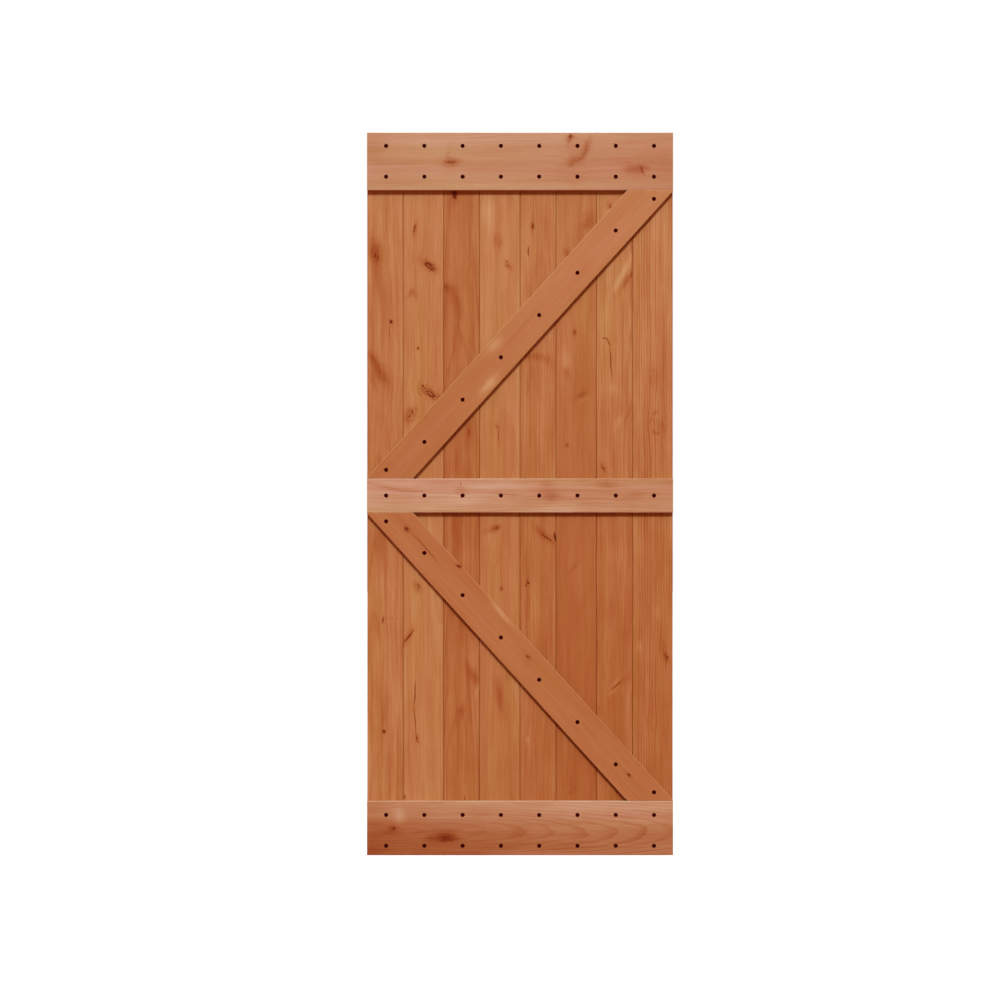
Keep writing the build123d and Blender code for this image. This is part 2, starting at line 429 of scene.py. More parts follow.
class WoodSettings(bpy.types.PropertyGroup):
    """Colours and grain of the boards."""
    plank_colour: FloatVectorProperty(
        name="Plank colour", description="Stain on the planks", default=(0.407, 0.163, 0.0563),
        **COLOUR_FORM)
    rail_colour: FloatVectorProperty(
        name="Rail colour", description="Stain on the rails", default=(0.475, 0.271, 0.161),
        **COLOUR_FORM)
    brace_colour: FloatVectorProperty(
        name="Brace colour", description="Stain on the braces", default=(0.407, 0.162, 0.0605),
        **COLOUR_FORM)
    heart_colour: FloatVectorProperty(
        name="Knot heart", description="Dark heart of knots and cracks", default=(0.070, 0.008, 0.002),
        **COLOUR_FORM)
    ring_contrast: FloatProperty(
        name="Ring contrast", description="How dark the late wood is", default=0.13, min=0, max=0.5)
    fibre_contrast: FloatProperty(
        name="Fibre contrast", description="Depth of the fine lines", default=0.22, min=0, max=0.5)
    pore_contrast: FloatProperty(
        name="Pore contrast", description="Depth of the scattered thin dark lines",
        default=0.10, min=0, max=0.5)
    streak_contrast: FloatProperty(
        name="Streak contrast", description="Depth of long streaks", default=0.40, min=0, max=1)
    blotch_contrast: FloatProperty(
        name="Blotch contrast", description="Unevenness of the stain", default=0.34, min=0, max=1)
    hue_contrast: FloatProperty(
        name="Hue contrast", description="Shift between tan and pink areas", default=0.6, min=0, max=3)
    # Rounded edges of rails and braces made paler: partly rubbed stain, partly painted highlight
    edge_wear: FloatProperty(
        name="Rubbed edges and highlight", description="How much paler the rounded edges of rails and braces are",
        default=0.26, min=0, max=0.5)
    joint_stain: FloatProperty(
        name="Joint stain", description="How much darker the bevelled edges of the planks are",
        default=0.07, min=0, max=0.5)
    brace_slope: FloatProperty(
        name="Brace slope", description="Direction of the grain in the braces", subtype="ANGLE",
        default=math.radians(47.9))


class ScrewSettings(bpy.types.PropertyGroup):
    """Sizes and finish of the screws."""
    head_diameter: FloatProperty(
        name="Head diameter", description="Across the flat head", unit="LENGTH", default=12 * MM)
    core_diameter: FloatProperty(
        name="Core diameter", description="Shank without its thread", unit="LENGTH", default=4.5 * MM)
    thread_height: FloatProperty(
        name="Thread height", description="How far the thread stands out", unit="LENGTH", default=0.65 * MM)
    thread_pitch: FloatProperty(
        name="Thread pitch", description="From one turn to the next", unit="LENGTH", default=2.2 * MM)
    plain_length: FloatProperty(
        name="Plain length", description="Shank above the thread", unit="LENGTH", default=9 * MM)
    length: FloatProperty(
        name="Length", description="From the head's face to the tip", unit="LENGTH", default=30 * MM)
    recess_width: FloatProperty(
        name="Recess width", description="Across the cross recess", unit="LENGTH", default=6.2 * MM)
    recess_depth: FloatProperty(
        name="Recess depth", description="Depth of the cross recess", unit="LENGTH", default=2.6 * MM)
    colour: FloatVectorProperty(
        name="Colour", description="Black finish", default=(0.026, 0.0006, 0.0005), **COLOUR_FORM)


class StageSettings(bpy.types.PropertyGroup):
    """Studio light, floor and camera."""
    key_strength: FloatProperty(
        name="Key light", description="Strength of the main light", default=3.14, min=0)
    key_colour: FloatVectorProperty(
        name="Key colour", description="A little cool, against the warm fill", default=(0.89, 0.982, 1.0),
        **COLOUR_FORM)
    key_elevation: FloatProperty(
        name="Key elevation", description="Height of the main light", subtype="ANGLE",
        default=math.radians(42))
    key_softness: FloatProperty(
        name="Key softness", description="Apparent size of the main light", subtype="ANGLE",
        default=math.radians(11))
    fill_strength: FloatProperty(
        name="Fill light", description="Even light from all around", default=0.25, min=0)
    overhead_strength: FloatProperty(
        name="Overhead light", description="Extra soft light from straight above", default=1.3, min=0)
    rear_strength: FloatProperty(
        name="Rear light", description="Extra soft light from behind the door", default=0.55, min=0)
    rear_colour: FloatVectorProperty(
        name="Rear colour", description="A little cool, against the warm fill", default=(0.72, 0.97, 1.0),
        **COLOUR_FORM)
    fill_colour: FloatVectorProperty(
        name="Fill colour", description="Warm fill", default=(1.0, 0.38, 0.15), **COLOUR_FORM)
    lens: FloatProperty(name="Lens", description="Focal length", unit="CAMERA", default=85)
    camera_distance: FloatProperty(
        name="Camera distance", description="From the front of the rails", unit="LENGTH", default=6.971)
    camera_x: FloatProperty(
        name="Camera across", description="Sideways from the door's middle", unit="LENGTH", default=-0.0592)
    camera_height: FloatProperty(
        name="Camera height", description="Above the floor", unit="LENGTH", default=1.049)
    floor_size: FloatProperty(
        name="Floor size", description="Side of the square floor", unit="LENGTH", default=40)


# Node building
def by_identifier(sockets, identifier):
    """The socket with an identifier, for nodes that have several sockets of one name."""
    return next(socket for socket in sockets if socket.identifier == identifier)


class Bench:
    """Adds nodes to a tree. An input is a number, a tuple or another node's output."""

    def __init__(self, tree):
        self.tree = tree

    def node(self, kind, *inputs, sockets=None, **settings):
        """A new node with its settings, its inputs in order and further inputs by name."""
        made = self.tree.nodes.new(kind)
        for name, value in settings.items():
            setattr(made, name, value)
        for socket, value in zip(made.inputs, inputs):
            self.feed(socket, value)
        for name, value in (sockets or {}).items():
            self.feed(made.inputs[name], value)
        return made

    def feed(self, socket, value):
        if isinstance(value, bpy.types.NodeSocket):
            self.tree.links.new(value, socket)
        else:
            socket.default_value = value

    def math(self, operation, *values, clamp=False):
        return self.node("ShaderNodeMath", *values, operation=operation, use_clamp=clamp).outputs[0]

    def vector(self, operation, *values):
        made = self.node("ShaderNodeVectorMath", *values, operation=operation)
        return made.outputs["Value" if operation == "LENGTH" else "Vector"]

    def plus(self, first, second, clamp=False):
        return self.math("ADD", first, second, clamp=clamp)

    def minus(self, first, second, clamp=False):
        return self.math("SUBTRACT", first, second, clamp=clamp)

    def times(self, first, second):
        return self.math("MULTIPLY", first, second)

    def times_plus(self, first, second, third, clamp=False):
        return self.math("MULTIPLY_ADD", first, second, third, clamp=clamp)

    def stretched(self, vector, factor):
        made = self.node("ShaderNodeVectorMath", vector, operation="SCALE", sockets={"Scale": factor})
        return made.outputs["Vector"]

    def parts(self, vector):
        return self.node("ShaderNodeSeparateXYZ", vector).outputs

    def joined(self, x, y, z):
        return self.node("ShaderNodeCombineXYZ", x, y, z).outputs[0]

    def mapped(self, vector, angle=0.0, scale=1.0):
        """A vector turned about the Y axis and scaled."""
        return self.node("ShaderNodeMapping", sockets={
            "Vector": vector, "Rotation": (0, angle, 0), "Scale": (scale, scale, scale)}).outputs[0]

    def turned(self, vector, angle):
        return self.node("ShaderNodeVectorRotate", rotation_type="Y_AXIS",
                         sockets={"Vector": vector, "Angle": angle}).outputs[0]

    def figure(self, point, name):
        """Noise of one of the figures, from about minus to plus a half."""
        form = FIGURES[name]
        place = self.vector("MULTIPLY", point, (1 / form.along, 1 / form.through, 1 / form.across))
        place = self.vector("ADD", place, form.shift)
        made = self.node("ShaderNodeTexNoise", noise_dimensions="3D", sockets={
            "Vector": place, "Scale": 1.0, "Detail": form.detail, "Roughness": form.roughness,
            "Distortion": form.distortion})
        return self.minus(made.outputs[0], 0.5)

    def bell(self, reach, steepness):
        """One in the middle, fading with the square of the reach."""
        return self.math("EXPONENT", self.times(self.times(reach, reach), -steepness))

    def fade(self, value, low, high, result_low=0.0, result_high=1.0):
        return self.node("ShaderNodeMapRange", value, low, high, result_low, result_high,
                         interpolation_type="SMOOTHSTEP").outputs[0]

    def blend(self, share, first, second):
        made = self.node("ShaderNodeMix", data_type="RGBA")
        for identifier, value in (("Factor_Float", share), ("A_Color", first), ("B_Color", second)):
            self.feed(by_identifier(made.inputs, identifier), value)
        return by_identifier(made.outputs, "Result_Color")

    def group(self, tree, **inputs):
        return self.node("ShaderNodeGroup", node_tree=tree, sockets=inputs)


def new_group(name, inputs, outputs, kind="ShaderNodeTree"):
    """An empty node group with named sockets, its bench and its end nodes."""
    tree = bpy.data.node_groups.new(name, kind)
    for socket, form in inputs.items():
        tree.interface.new_socket(socket, in_out="INPUT", socket_type=form)
    for socket, form in outputs.items():
        tree.interface.new_socket(socket, in_out="OUTPUT", socket_type=form)
    bench = Bench(tree)
    return tree, bench, bench.node("NodeGroupInput").outputs, bench.node("NodeGroupOutput").inputs


def new_material(name):
    """A material with an empty node tree, and its bench."""
    material = bpy.data.materials.new(name)
    material.use_nodes = True
    material.node_tree.nodes.clear()
    return material, Bench(material.node_tree)


def make_surface(bench, colour, roughness, specular, height, relief, relief_depth):
    """A shader with fine relief, as the material's surface."""
    bump = bench.node("ShaderNodeBump", sockets={
        "Height": height, "Strength": relief, "Distance": relief_depth})
    shader = bench.node("ShaderNodeBsdfPrincipled", sockets={
        "Base Color": colour, "Roughness": roughness, "Specular IOR Level": specular,
        "Normal": bump.outputs[0]})
    bench.node("ShaderNodeOutputMaterial", sockets={"Surface": shader.outputs[0]})


FLOAT = "NodeSocketFloat"
VECTOR = "NodeSocketVector"
COLOUR = "NodeSocketColor"


# Wood. Points in the wood are in millimetres: X along the grain, Y through the board, Z across it
def mark_group():
    """One mark: bends the grain round itself, and adds its halo, broken outline and dark core."""
    inputs = {"point": VECTOR, "centre": VECTOR, "inverse_size": VECTOR, "lean": FLOAT, "wobble": FLOAT,
              "raggedness": FLOAT, "splinter": FLOAT, "gap": FLOAT, "halo_strength": FLOAT,
              "rim_strength": FLOAT, "core_strength": FLOAT, "cover": FLOAT, "push": FLOAT,
              "halo": FLOAT, "core": FLOAT}
    outputs = {"point": VECTOR, "halo": FLOAT, "core": FLOAT}
    tree, bench, given, result = new_group("wood_mark", inputs, outputs)
    offset = bench.vector("SUBTRACT", given["point"], given["centre"])
    leaning = bench.turned(offset, given["lean"])
    reach = bench.vector("LENGTH", bench.vector("MULTIPLY", leaning, given["inverse_size"]))
    ragged = bench.times_plus(given["wobble"], given["raggedness"], reach)

    heart = bench.times(bench.fade(ragged, HEART_EDGE, HEART_WHOLE), given["core_strength"])
    start = bench.times_plus(given["cover"], -DARK_RANGE, DARK_START)
    dark = bench.fade(given["splinter"], start, bench.plus(start, DARK_SOFTNESS))
    bench.feed(result["core"], bench.math("MAXIMUM", bench.times(heart, dark), given["core"]))

    inner = bench.fade(bench.math("ABSOLUTE", bench.minus(ragged, 1.0)), RIM_WIDTH, 0.0)
    outer = bench.fade(bench.math("ABSOLUTE", bench.minus(ragged, OUTER_RIM)), OUTER_RIM_WIDTH, 0.0)
    outline = bench.times_plus(outer, OUTER_RIM_SHARE, inner)
    outline = bench.times(outline, bench.fade(given["gap"], -RIM_BREAK, RIM_BREAK))
    speck = bench.times(heart, bench.fade(given["splinter"], SPECK_START, SPECK_FULL))
    halo = bench.times_plus(bench.bell(ragged, TONE_FADE), given["halo_strength"], given["halo"])
    halo = bench.times_plus(outline, given["rim_strength"], halo)
    bench.feed(result["halo"], bench.times_plus(speck, -SPECK_LIGHT, halo))

    across = bench.times(bench.parts(offset)["Z"], bench.bell(reach, PUSH_FADE))
    shift = bench.joined(0.0, 0.0, bench.times(across, given["push"]))
    bench.feed(result["point"], bench.vector("SUBTRACT", given["point"], shift))
    return tree


def shade_group():
    """One wide slow change of tone, which in some places paints light and shade."""
    inputs = {"point": VECTOR, "centre": VECTOR, "inverse_size": VECTOR, "strength": FLOAT, "halo": FLOAT}
    tree, bench, given, result = new_group("wood_shade", inputs, {"halo": FLOAT})
    offset = bench.vector("SUBTRACT", given["point"], given["centre"])
    reach = bench.vector("LENGTH", bench.vector("MULTIPLY", offset, given["inverse_size"]))
    halo = bench.times_plus(bench.bell(reach, TONE_FADE), given["strength"], given["halo"])
    bench.feed(result["halo"], halo)
    return tree


def grain_group(settings):
    """Growth rings, fibres, streaks and uneven stain; gives the depth of stain and a height."""
    inputs = {"point": VECTOR, "seed": VECTOR, "pith_across": FLOAT, "pith_depth": FLOAT, "taper": FLOAT,
              "ring_spacing": FLOAT, "figure": FLOAT, "wander": FLOAT, "ring_share": FLOAT, "tone": FLOAT}
    outputs = {"tone": FLOAT, "height": FLOAT, "late_wood": FLOAT, "hue": FLOAT}
    tree, bench, given, result = new_group("wood_grain", inputs, outputs)
    point = bench.vector("ADD", given["point"], given["seed"])
    along, through, across = bench.parts(given["point"])

    side = bench.minus(across, given["pith_across"])
    wander = bench.times(given["wander"], RING_WANDER)
    side = bench.times_plus(bench.figure(point, "ring_wander"), wander, side)
    depth = bench.minus(through, given["pith_depth"])
    depth = bench.minus(depth, bench.times(along, given["taper"]))
    sway = bench.times(given["wander"], RING_SWAY)
    depth = bench.times_plus(bench.figure(point, "ring_sway"), sway, depth)
    radius = bench.math("SQRT", bench.plus(bench.times(side, side), bench.times(depth, depth)))
    ripple = bench.times(bench.figure(point, "ring_ripple"), RING_RIPPLE)
    ring = bench.plus(bench.math("DIVIDE", radius, given["ring_spacing"]), ripple)
    season = bench.math("FRACT", ring)
    late = bench.times(bench.fade(season, LATE_START, LATE_FULL), bench.fade(season, 1.0, LATE_END))
    year = bench.math("FLOOR", ring)
    chance = bench.node("ShaderNodeTexWhiteNoise", noise_dimensions="1D", sockets={"W": year})
    late = bench.times(late, bench.times_plus(chance.outputs["Value"], YEAR_SPREAD, YEAR_LEAST))

    fibre = bench.figure(point, "fibre")
    pore = bench.fade(bench.figure(point, "pore"), PORE_START, PORE_FULL)
    figure = bench.times(late, bench.times(given["ring_share"], -settings.ring_contrast))
    for feature, contrast in (
            (pore, -settings.pore_contrast), (fibre, settings.fibre_contrast),
            (bench.figure(point, "line"), settings.fibre_contrast),
            (bench.figure(point, "streak"), settings.streak_contrast),
            (bench.figure(point, "blotch"), settings.blotch_contrast)):
        figure = bench.times_plus(feature, contrast, figure)
    tone = bench.times_plus(figure, given["figure"], 1.0)
    bench.feed(result["tone"], bench.times(tone, given["tone"]))
    bench.feed(result["height"], bench.times_plus(late, LATE_HEIGHT, fibre))
    bench.feed(result["late_wood"], late)
    bench.feed(result["hue"], bench.times(bench.figure(point, "hue"), settings.hue_contrast))
    return tree


def stain_group():
    """Colour of the stained wood: a deeper stain takes more green than red, and most blue."""
    inputs = {"colour": COLOUR, "tone": FLOAT, "hue": FLOAT}
    tree, bench, given, result = new_group("wood_stain", inputs, {"colour": COLOUR})
    parts = []
    channels = bench.node("ShaderNodeSeparateColor", given["colour"]).outputs
    for channel, power, tan_shift in zip(channels, STAIN_POWERS, TAN_SHIFTS):
        depth = bench.math("POWER", given["tone"], power)
        shift = bench.times_plus(given["hue"], tan_shift, 1.0)
        parts.append(bench.times(channel, bench.times(depth, shift)))
    bench.feed(result["colour"], bench.node("ShaderNodeCombineColor", *parts).outputs[0])
    return tree


def wood_groups():
    """The node groups that all boards share, made once."""
    if "wood_mark" in bpy.data.node_groups:
        return {name: bpy.data.node_groups[f"wood_{name}"] for name in ("mark", "shade", "grain", "stain")}
    grain = grain_group(bpy.context.scene.barn_door_wood)
    return {"mark": mark_group(), "shade": shade_group(), "grain": grain, "stain": stain_group()}


def grain_angle(node):
    """Direction of the grain on the door's front, from the X axis towards up."""
    slope = bpy.context.scene.barn_door_wood.brace_slope
    if node in PLANKS:
        return math.pi / 2
    return {"upper_brace": slope, "lower_brace": -slope}.get(node, 0.0)


def along_and_across(node, x, z):
    """A place on the door's front as distances along and across a board's grain."""
    angle = grain_angle(node)
    return (x * math.cos(angle) + z * math.sin(angle), z * math.cos(angle) - x * math.sin(angle))


def board_middle(node):
    """The middle of a board, along and across its grain, in millimetres."""
    low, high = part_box(node)
    return along_and_across(node, (low[0] + high[0]) / 2 / MM, (low[2] + high[2]) / 2 / MM)


def board_half_length(node):
    """Half the length of a board along its grain, in millimetres."""
    low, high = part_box(node)
    angle = grain_angle(node)
    run = (high[0] - low[0]) * abs(math.cos(angle)) + (high[2] - low[2]) * abs(math.sin(angle))
    return run / 2 / MM


def add_marks(bench, node, groups, point, seeded):
    """A board's marks one after the other; gives the bent grain, the halo and the dark core."""
    wobble = bench.figure(seeded, "mark_wobble")
    splinter = bench.figure(seeded, "mark_splinter")
    slanted = bench.figure(bench.turned(seeded, math.radians(SLANTED_FIBRE)), "mark_splinter")
    gap = bench.figure(seeded, "mark_gap")
    halo = 0.0
    core = 0.0
    for mark in MARKS[node]:
        along, across = along_and_across(node, mark.x, mark.z)
        centre = (along, 0, across)
        inverse_size = (1 / mark.half_length, 0, 1 / mark.half_width)
        if mark.push == 0 and mark.core == 0:
            halo = bench.group(groups["shade"], point=point, centre=centre, inverse_size=inverse_size,
                               strength=mark.halo, halo=halo).outputs[0]
            continue
        point, halo, core = bench.group(
            groups["mark"], point=point, wobble=wobble, gap=gap, halo=halo, core=core,
            splinter=slanted if mark.lean > SLANTED_FIBRE / 2 else splinter, centre=centre,
            inverse_size=inverse_size, lean=math.radians(mark.lean),
            raggedness=min(MOST_RAGGED, RAGGED_WIDTH / mark.half_width), halo_strength=mark.halo,
            rim_strength=mark.rim, core_strength=mark.core, cover=mark.cover, push=mark.push).outputs
    return point, halo, core


def tone_by_place(bench, node, place, edge_tone_share, tone):
    """Tone changed on rounded edges (paler on rails and braces, partly rubbed stain and partly painted
    highlight), in the rims of the screw holes (painted shade) and on end grain.
    """
    outward = bench.parts(place.outputs["Normal"])["Y"]
    frontness = bench.times(outward, outward)
    rounded = bench.times(bench.minus(1.0, frontness), frontness)
    depth = bench.minus(bench.parts(place.outputs["Object"])["Y"], CAD_BOX[0][1])
    wall = bench.fade(frontness, HOLE_WALL_START, HOLE_WALL_FULL)
    in_hole = bench.times(wall, bench.fade(depth, HOLE_RIM_END, HOLE_RIM_FULL))
    edge_share = bench.times(rounded, bench.minus(1.0, in_hole))
    # Rounded edges made paler on rails and braces, partly rubbed stain and partly painted highlight; on the
    # planks the negative share darkens the bevels as joint stain
    tone = bench.times_plus(edge_share, EDGE_GAIN * edge_tone_share, tone)
    # Countersink walls round the screw heads darkened: painted shade in the recess
    tone = bench.times_plus(in_hole, -HOLE_SHADE, tone)
    facing = bench.mapped(place.outputs["Normal"], grain_angle(node))
    end_facing = bench.math("ABSOLUTE", bench.parts(facing)["X"])
    end_shade = bench.fade(end_facing, END_GRAIN_START, END_GRAIN_FULL, 0.0, END_GRAIN_DEPTH)
    return bench.minus(tone, end_shade)


def wood_material(node, colour, edge_tone_share, groups, seed_number):
    """Stained wood of one board, with its own rings, tone and marks; the edge tone share makes its rounded
    edges paler, partly as rubbed stain and partly as painted highlight, or darker where it is negative; the
    walls of the screw holes get painted shade."""
    settings = bpy.context.scene.barn_door_wood
    cut = CUTS[node]
    material, bench = new_material(f"{node}_wood")
    place = bench.node("ShaderNodeTexCoord")
    board_point = bench.mapped(place.outputs["Object"], grain_angle(node), 1 / MM)
    seed = tuple(seed_number * step for step in SEED_STEP)
    seeded = bench.vector("ADD", board_point, seed)
    drift = bench.joined(0.0, 0.0, bench.times(bench.figure(seeded, "mark_drift"), DRIFT))
    drifted = bench.vector("ADD", board_point, drift)
    point, halo, core = add_marks(bench, node, groups, drifted, seeded)

    middle_along, middle_across = board_middle(node)
    start = middle_along - board_half_length(node)
    end = middle_along + board_half_length(node)
    grain_along = bench.parts(board_point)["X"]
    tone = bench.fade(grain_along, start, end, cut.tone_start_share, cut.tone_end_share)
    rings = bench.fade(grain_along, start, end, cut.ring_share * cut.start_ring_share, cut.ring_share)
    bent = bench.vector("SUBTRACT", bench.vector("SUBTRACT", point, drift), (middle_along, 0, middle_across))
    grain = bench.group(
        groups["grain"], point=bent, seed=seed, pith_across=cut.pith_across, pith_depth=cut.pith_depth,
        taper=cut.taper_share, ring_spacing=cut.ring_spacing, figure=cut.figure_share,
        wander=cut.wander_share, ring_share=rings, tone=tone).outputs
    tone = bench.minus(grain["tone"], halo)
    tone = bench.times_plus(core, -HEART_DEPTH, tone)
    tone = tone_by_place(bench, node, place, edge_tone_share, tone)
    wood = bench.group(groups["stain"], colour=(*colour, 1), tone=tone, hue=grain["hue"]).outputs[0]
    charred = bench.times(bench.math("POWER", core, CHAR_POWER), CHAR_SHARE)
    wood = bench.blend(charred, wood, (*settings.heart_colour, 1))
    rough = bench.times_plus(grain["late_wood"], -LATE_WOOD_GLOSS, WOOD_ROUGHNESS)
    rough = bench.times_plus(core, HEART_ROUGHNESS, rough)
    height = bench.times_plus(core, -HEART_SINK, grain["height"])
    make_surface(bench, wood, rough, WOOD_SPECULAR, height, WOOD_RELIEF, WOOD_RELIEF_DEPTH)
    return material


def finish_boards(nodes, colour, edge_tone_share, first_seed):
    """Gives each board its own stained wood."""
    groups = wood_groups()
    for number, node in enumerate(nodes):
        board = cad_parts[node]
        board.data.materials.clear()
        board.data.materials.append(wood_material(node, colour, edge_tone_share, groups, first_seed + number))


# Screws
def screw_places():
    """Centre of each screw's head face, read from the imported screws."""
    places = []
    for node in SCREW_NODES:
        mesh = bmesh.new()
        mesh.from_mesh(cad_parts[node].data)
        bmesh.ops.remove_doubles(mesh, verts=mesh.verts, dist=WELD_DISTANCE)
        waiting = set(mesh.verts)
        while waiting:
            island = []
            stack = [waiting.pop()]
            while stack:
                vertex = stack.pop()
                island.append(vertex.co.copy())
                for edge in vertex.link_edges:
                    other = edge.other_vert(vertex)
                    if other in waiting:
                        waiting.remove(other)
                        stack.append(other)
            tip = max(island, key=lambda co: co.y)
            places.append((tip.x, min(co.y for co in island), tip.z))
        mesh.free()
    return sorted(places)


def turned_screw(bench, given):
    """A cylinder drawn in and out to a flat head, a plain shank, a thread and a blunt point."""
    blank = bench.node("GeometryNodeMeshCylinder", sockets={
        "Vertices": SCREW_SIDES, "Side Segments": SCREW_STEPS, "Radius": 1.0, "Depth": given["Length"]})
    x, y, z = bench.parts(bench.node("GeometryNodeInputPosition").outputs[0])
    below = bench.minus(bench.times(given["Length"], 0.5), z)
    left = bench.minus(given["Length"], below)
    head_radius = bench.times(given["Head Diameter"], 0.5)
    core_radius = bench.times(given["Core Diameter"], 0.5)
    core = bench.math("MINIMUM", core_radius, bench.times_plus(left, POINT_SLOPE, TIP_RADIUS))
    turn = bench.math("DIVIDE", bench.math("ARCTAN2", y, x), 2 * math.pi)
    turns = bench.math("DIVIDE", below, given["Thread Pitch"])
    phase = bench.math("FRACT", bench.minus(turns, turn))
    off_crest = bench.math("ABSOLUTE", bench.minus(phase, 0.5))
    crest = bench.minus(1.0, bench.times(off_crest, FLANK_STEEPNESS), clamp=True)
    threaded = bench.math("GREATER_THAN", below, given["Plain Length"])
    ridge = bench.times(bench.times(crest, threaded), given["Thread Height"])
    ridge = bench.math("MINIMUM", ridge, bench.times(left, POINT_THREAD_SHARE))
    cone = bench.minus(head_radius, below)
    radius = bench.math("MAXIMUM", cone, bench.plus(core, ridge))
    spread = bench.stretched(bench.joined(x, y, 0.0), radius)
    lowered = bench.joined(0.0, 0.0, bench.times(below, -1.0))
    return bench.node("GeometryNodeSetPosition", sockets={
        "Geometry": blank.outputs["Mesh"], "Position": bench.vector("ADD", spread, lowered)}).outputs[0]


def recess_slot(bench, given, quarter, depth_share):
    """One tapered slot of the cross recess; the second is shallower, so that their floors lie apart."""
    blade = bench.node("GeometryNodeMeshCone", fill_type="NGON", sockets={
        "Vertices": 4, "Radius Top": RECESS_TOP, "Radius Bottom": RECESS_BOTTOM, "Depth": RECESS_OVERRUN})
    square = bench.node("GeometryNodeTransform", sockets={
        "Geometry": blade.outputs["Mesh"], "Rotation": (0, 0, math.pi / 4)})
    length = bench.times(given["Recess Width"], math.sqrt(2))
    width = bench.times(given["Recess Width"], RECESS_SLOT_SHARE)
    drop = bench.times(given["Recess Depth"], -depth_share)
    sized = bench.node("GeometryNodeTransform", sockets={
        "Geometry": square.outputs[0], "Scale": bench.joined(length, width, given["Recess Depth"]),
        "Translation": bench.joined(0.0, 0.0, drop)})
    return bench.node("GeometryNodeTransform", sockets={
        "Geometry": sized.outputs[0], "Rotation": (0, 0, quarter)}).outputs[0]


def screw_tree():
    """A screw with a cross recess on every point, its head to the front, each turned its own way."""
    inputs = {"Points": "NodeSocketGeometry", "Head Diameter": FLOAT, "Core Diameter": FLOAT,
              "Thread Height": FLOAT, "Thread Pitch": FLOAT, "Plain Length": FLOAT, "Length": FLOAT,
              "Recess Width": FLOAT, "Recess Depth": FLOAT, "Finish": "NodeSocketMaterial"}
    tree, bench, given, result = new_group("countersunk_screws", inputs, {"Screws": "NodeSocketGeometry"},
                                           "GeometryNodeTree")
    screw = bench.node("GeometryNodeMeshBoolean", operation="DIFFERENCE",
                       sockets={"Mesh 1": turned_screw(bench, given)})
    for quarter, depth_share in RECESS_SLOTS:
        bench.feed(screw.inputs["Mesh 2"], recess_slot(bench, given, quarter, depth_share))
    spin = bench.node("FunctionNodeRandomValue", data_type="FLOAT")
    for identifier, value in (("Max_001", 2 * math.pi), ("Seed", SPIN_SEED)):
        by_identifier(spin.inputs, identifier).default_value = value
    facing = bench.joined(math.pi / 2, by_identifier(spin.outputs, "Value_001"), 0.0)
    placed = bench.node("GeometryNodeInstanceOnPoints", sockets={
        "Points": given["Points"], "Instance": screw.outputs["Mesh"],
        "Rotation": bench.node("FunctionNodeEulerToRotation", facing).outputs[0]})
    real = bench.node("GeometryNodeRealizeInstances", placed.outputs[0])
    painted = bench.node("GeometryNodeSetMaterial", sockets={
        "Geometry": real.outputs[0], "Material": given["Finish"]})
    bench.feed(result["Screws"], painted.outputs[0])
    return tree


def screw_material(colour):
    """Black finish with a slightly uneven sheen."""
    material, bench = new_material("screw_black_finish")
    point = bench.mapped(bench.node("ShaderNodeTexCoord").outputs["Object"], scale=1 / MM)
    grain = bench.figure(point, "screw_finish")
    light = bench.times_plus(grain, FINISH_CONTRAST, 0.5, clamp=True)
    pale_colour = tuple(channel * FINISH_LIGHT for channel in colour)
    finish = bench.blend(light, (*colour, 1), (*pale_colour, 1))
    rough = bench.times_plus(grain, FINISH_ROUGHNESS_SPREAD, FINISH_ROUGHNESS)
    make_surface(bench, finish, rough, FINISH_SPECULAR, grain, FINISH_RELIEF, FINISH_RELIEF_DEPTH)
    return material


def add_object(name, data):
    """A new object in the scene, at the origin."""
    made = bpy.data.objects.new(name, data)
    bpy.context.scene.collection.objects.link(made)
    return made


def make_screws(settings):
    """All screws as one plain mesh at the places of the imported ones."""
    points = bpy.data.meshes.new("screw_places")
    points.from_pydata(screw_places(), [], [])
    holder = add_object("screw_places", points)
    tree = screw_tree()
    modifier = holder.modifiers.new("countersunk_screws", "NODES")
    modifier.node_group = tree
    for item in tree.interface.items_tree:
        if item.in_out == "INPUT" and item.socket_type == FLOAT:
            modifier[item.identifier] = getattr(settings, item.name.lower().replace(" ", "_"))
        elif item.name == "Finish":
            modifier[item.identifier] = screw_material(settings.colour)
    evaluated = holder.evaluated_get(bpy.context.evaluated_depsgraph_get())
    mesh = bpy.data.meshes.new_from_object(evaluated)
    holder.modifiers.clear()
    bpy.data.objects.remove(holder)
    bpy.data.meshes.remove(points)
    mesh.polygons.foreach_set("use_smooth", [True] * len(mesh.polygons))
    mesh.set_sharp_from_angle(angle=SMOOTH_ANGLE)
    mesh.name = "black_screws"
    screws = add_object("black_screws", mesh)
    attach(screws, BODY)
    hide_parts(*SCREW_NODES)


# Stage
def seen_directly(bench):
    """One for camera, glossy and transmission rays, zero for the light that falls on the door."""
    path = bench.node("ShaderNodeLightPath").outputs
    seen = bench.plus(path["Is Camera Ray"], path["Is Glossy Ray"])
    return bench.plus(seen, path["Is Transmission Ray"], clamp=True)


def floor_material():
    """White floor, a little cool so that its shadow stays neutral under the warm fill; it throws
    little light back on the door."""
    material, bench = new_material("white_floor")
    seen = seen_directly(bench)
    colour = bench.blend(seen, FLOOR_BOUNCE, FLOOR_SEEN)
    matt = bench.node("ShaderNodeBsdfDiffuse", sockets={"Color": colour})
    lift = bench.node("ShaderNodeEmission", sockets={"Strength": bench.times(seen, FLOOR_LIFT)})
    both = bench.node("ShaderNodeAddShader", matt.outputs[0], lift.outputs[0])
    bench.node("ShaderNodeOutputMaterial", sockets={"Surface": both.outputs[0]})
    return material


